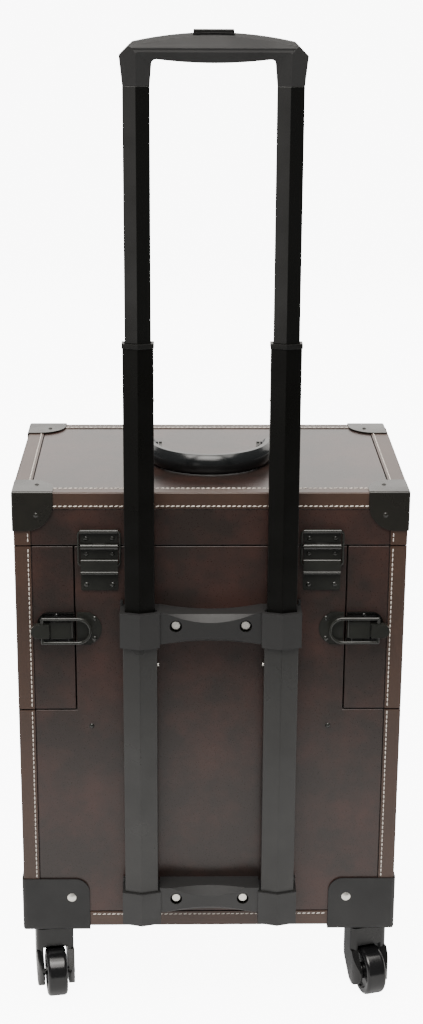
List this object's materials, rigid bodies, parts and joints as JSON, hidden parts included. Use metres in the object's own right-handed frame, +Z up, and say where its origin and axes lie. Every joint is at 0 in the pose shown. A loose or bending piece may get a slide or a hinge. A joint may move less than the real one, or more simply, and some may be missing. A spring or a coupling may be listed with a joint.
{
  "type": "rolling makeup case",
  "caption": "Leather-covered rolling makeup case with swing-out side wings, hinged lid, corner guards, swivel castors and a two-stage telescopic trolley handle.",
  "frame": {"origin": "on the floor under the middle of the whole object's bounding box", "axes": "+Z up, +X to the right seen from the trolley side, and the trolley handle on the -Y side"},
  "size_m": [0.3654, 0.2662, 0.9312],
  "materials": {
    "leather": "grained satin, dark brown",
    "binding": "grained satin, warm brown, stitched",
    "board": "dark lining over board",
    "black_metal": "black enamel, semi-gloss",
    "charcoal_plastic": "moulded charcoal, satin",
    "black_plastic": "moulded black, satin",
    "charcoal_tube": "charcoal coat, satin",
    "black_tube": "black coat, satin",
    "nickel": "bright nickel",
    "steel": "bright drawn rod",
    "gloss_black": "gloss black",
    "wheel_rubber": "dark grey rubber tread"
  },
  "bodies": {
    "case": {"base_floor": "board", "base_rear_panel": "board", "base_front_panel": "board", "base_side_panels": "board", "tower_walls": "board", "base_leather": "leather", "base_edge_binding": "binding", "corner_guards": "charcoal_plastic", "bright_rivets": "nickel", "outer_tubes": "charcoal_tube", "upper_bracket": "charcoal_plastic", "lower_bracket": "charcoal_plastic", "hinge_case_leaves": "black_metal", "wing_latch_catches": "black_metal", "lid_latch_bases": "black_metal", "wing_hinge_leaves": "black_metal", "case_screws": "black_metal"},
    "lid": {"lid_panel": "board", "lid_walls": "board", "lid_leather": "leather", "lid_edge_binding": "binding", "lid_corner_caps": "black_metal", "hinge_lid_leaves": "black_metal", "carry_handle_brackets": "black_metal", "lid_hasp_plates": "black_metal"},
    "carry_handle": {"carry_handle": "gloss_black"},
    "left_stay": {"left_stay_wire": "black_metal"},
    "right_stay": {"right_stay_wire": "black_metal"},
    "middle_stage": {"middle_tubes": "black_tube", "middle_collars": "black_plastic", "middle_bushes": "black_plastic", "middle_studs": "nickel"},
    "upper_stage": {"upper_tubes": "black_tube", "upper_bushes": "black_plastic", "grip": "charcoal_plastic"},
    "release": {"release_button": "black_plastic", "push_rods": "steel"},
    "left_hasp": {"left_lid_hasp": "black_metal"},
    "right_hasp": {"right_lid_hasp": "black_metal"},
    "left_wing": {"left_wing_box": "board", "left_wing_leather": "leather", "left_wing_binding": "binding", "left_wing_hardware": "black_metal"},
    "left_latch_lever": {"left_latch_lever": "black_metal"},
    "left_latch_bail": {"left_latch_bail": "black_metal"},
    "right_wing": {"right_wing_box": "board", "right_wing_leather": "leather", "right_wing_binding": "binding", "right_wing_hardware": "black_metal"},
    "right_latch_lever": {"right_latch_lever": "black_metal"},
    "right_latch_bail": {"right_latch_bail": "black_metal"},
    "rear_left_castor": {"rear_left_fork": "charcoal_plastic"},
    "rear_left_roller": {"rear_left_wheel": "wheel_rubber"},
    "rear_right_castor": {"rear_right_fork": "charcoal_plastic"},
    "rear_right_roller": {"rear_right_wheel": "wheel_rubber"},
    "front_left_castor": {"front_left_fork": "charcoal_plastic"},
    "front_left_roller": {"front_left_wheel": "wheel_rubber"},
    "front_right_castor": {"front_right_fork": "charcoal_plastic"},
    "front_right_roller": {"front_right_wheel": "wheel_rubber"}
  },
  "joints": [
    {"name": "handle_lower_slide", "type": "slide", "parent": "case", "child": "middle_stage", "axis": [0, 0, 1], "range_m": [-0.243, 0]},
    {"name": "handle_upper_slide", "type": "slide", "parent": "middle_stage", "child": "upper_stage", "axis": [0, 0, 1], "range_m": [-0.217, 0]},
    {"name": "release_press", "type": "slide", "parent": "upper_stage", "child": "release", "axis": [0, 0, -1], "range_m": [0, 0.0024], "stiffness_N_per_m": 2000, "springref_m": -0.002},
    {"name": "lid_hinge", "type": "hinge", "parent": "case", "child": "lid", "pos_m": [0, -0.1061, 0.472], "axis": [1, 0, 0], "range_deg": [0, 10]},
    {"name": "left_stay_turn", "type": "hinge", "parent": "lid", "child": "left_stay", "pos_m": [-0.102, -0.10585, 0.4865], "axis": [1, 0, 0], "range_deg": [-6, 0]},
    {"name": "right_stay_turn", "type": "hinge", "parent": "lid", "child": "right_stay", "pos_m": [0.102, -0.10585, 0.4865], "axis": [1, 0, 0], "range_deg": [-6, 0]},
    {"name": "carry_handle_swing", "type": "hinge", "parent": "lid", "child": "carry_handle", "pos_m": [0, 0.0081, 0.5328], "axis": [-1, 0, 0], "range_deg": [0, 180]},
    {"name": "left_wing_swing", "type": "hinge", "parent": "case", "child": "left_wing", "pos_m": [-0.1254, 0.1303, 0.3905], "axis": [0, 0, -1], "range_deg": [0, 105]},
    {"name": "left_lever_turn", "type": "hinge", "parent": "left_wing", "child": "left_latch_lever", "pos_m": [-0.1293, -0.1061, 0.391], "axis": [0, 0, 1], "range_deg": [0, 110]},
    {"name": "left_bail_turn", "type": "hinge", "parent": "left_latch_lever", "child": "left_latch_bail", "pos_m": [-0.1553, -0.1108, 0.391], "axis": [0, 0, 1], "range_deg": [-137.5, 0]},
    {"name": "right_wing_swing", "type": "hinge", "parent": "case", "child": "right_wing", "pos_m": [0.1254, 0.1303, 0.3905], "axis": [0, 0, 1], "range_deg": [0, 105]},
    {"name": "right_lever_turn", "type": "hinge", "parent": "right_wing", "child": "right_latch_lever", "pos_m": [0.1293, -0.1061, 0.391], "axis": [0, 0, -1], "range_deg": [0, 110]},
    {"name": "right_bail_turn", "type": "hinge", "parent": "right_latch_lever", "child": "right_latch_bail", "pos_m": [0.1553, -0.1108, 0.391], "axis": [0, 0, -1], "range_deg": [-137.5, 0]},
    {"name": "left_hasp_turn", "type": "hinge", "parent": "lid", "child": "left_hasp", "pos_m": [-0.08, 0.1303, 0.487], "axis": [1, 0, 0], "range_deg": [0, 110]},
    {"name": "right_hasp_turn", "type": "hinge", "parent": "lid", "child": "right_hasp", "pos_m": [0.08, 0.1303, 0.487], "axis": [1, 0, 0], "range_deg": [0, 110]},
    {"name": "rear_left_swivel", "type": "hinge", "parent": "case", "child": "rear_left_castor", "pos_m": [-0.154, -0.0779, 0.06], "axis": [0, 0, 1], "continuous": true},
    {"name": "rear_left_roll", "type": "hinge", "parent": "rear_left_castor", "child": "rear_left_roller", "pos_m": [-0.15087, -0.09765, 0.024], "axis": [0.9877, 0.1564, 0], "continuous": true},
    {"name": "rear_right_swivel", "type": "hinge", "parent": "case", "child": "rear_right_castor", "pos_m": [0.154, -0.0779, 0.06], "axis": [0, 0, 1], "continuous": true},
    {"name": "rear_right_roll", "type": "hinge", "parent": "rear_right_castor", "child": "rear_right_roller", "pos_m": [0.15951, -0.09712, 0.024], "axis": [0.9613, 0.2756, 0], "continuous": true},
    {"name": "front_left_swivel", "type": "hinge", "parent": "case", "child": "front_left_castor", "pos_m": [-0.154, 0.1021, 0.06], "axis": [0, 0, 1], "continuous": true},
    {"name": "front_left_roll", "type": "hinge", "parent": "front_left_castor", "child": "front_left_roller", "pos_m": [-0.15087, 0.08235, 0.024], "axis": [0.9877, 0.1564, 0], "continuous": true},
    {"name": "front_right_swivel", "type": "hinge", "parent": "case", "child": "front_right_castor", "pos_m": [0.154, 0.1021, 0.06], "axis": [0, 0, 1], "continuous": true},
    {"name": "front_right_roll", "type": "hinge", "parent": "front_right_castor", "child": "front_right_roller", "pos_m": [0.15951, 0.08288, 0.024], "axis": [0.9613, 0.2756, 0], "continuous": true}
  ],
  "couplings": [
    {"joint": "left_stay_turn", "follows": "lid_hinge", "ratio": -0.555},
    {"joint": "left_bail_turn", "follows": "left_lever_turn", "ratio": -1.25},
    {"joint": "right_stay_turn", "follows": "lid_hinge", "ratio": -0.555},
    {"joint": "right_bail_turn", "follows": "right_lever_turn", "ratio": -1.25}
  ]
}
